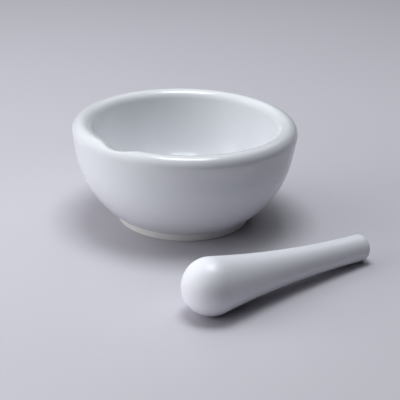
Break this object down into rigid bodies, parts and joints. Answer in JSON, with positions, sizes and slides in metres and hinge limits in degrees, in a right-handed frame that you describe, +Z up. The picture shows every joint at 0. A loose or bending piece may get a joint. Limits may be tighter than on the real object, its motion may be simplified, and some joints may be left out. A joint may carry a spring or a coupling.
{
  "type": "mortar and pestle",
  "caption": "White porcelain laboratory mortar: a thick round-rimmed bowl with a pouring spout and a low foot ring, with its ball-headed pestle lying beside it.",
  "frame": {"origin": "centre of the foot ring's bearing face, on the table under the bowl's axis", "axes": "+Z up along the bowl's axis, -Y towards the pouring spout, +X towards the side where the pestle lies"},
  "size_m": [0.1702, 0.1568, 0.055],
  "materials": {
    "bowl_glaze": "gloss",
    "pestle_glaze": "satin"
  },
  "bodies": {
    "mortar": {"mortar": "bowl_glaze"},
    "pestle": {"pestle": "pestle_glaze"}
  },
  "joints": [
    {"name": "pestle_lift", "type": "slide", "parent": "mortar", "child": "pestle", "axis": [0, 0, 1], "range_m": [0, 0.15]}
  ]
}
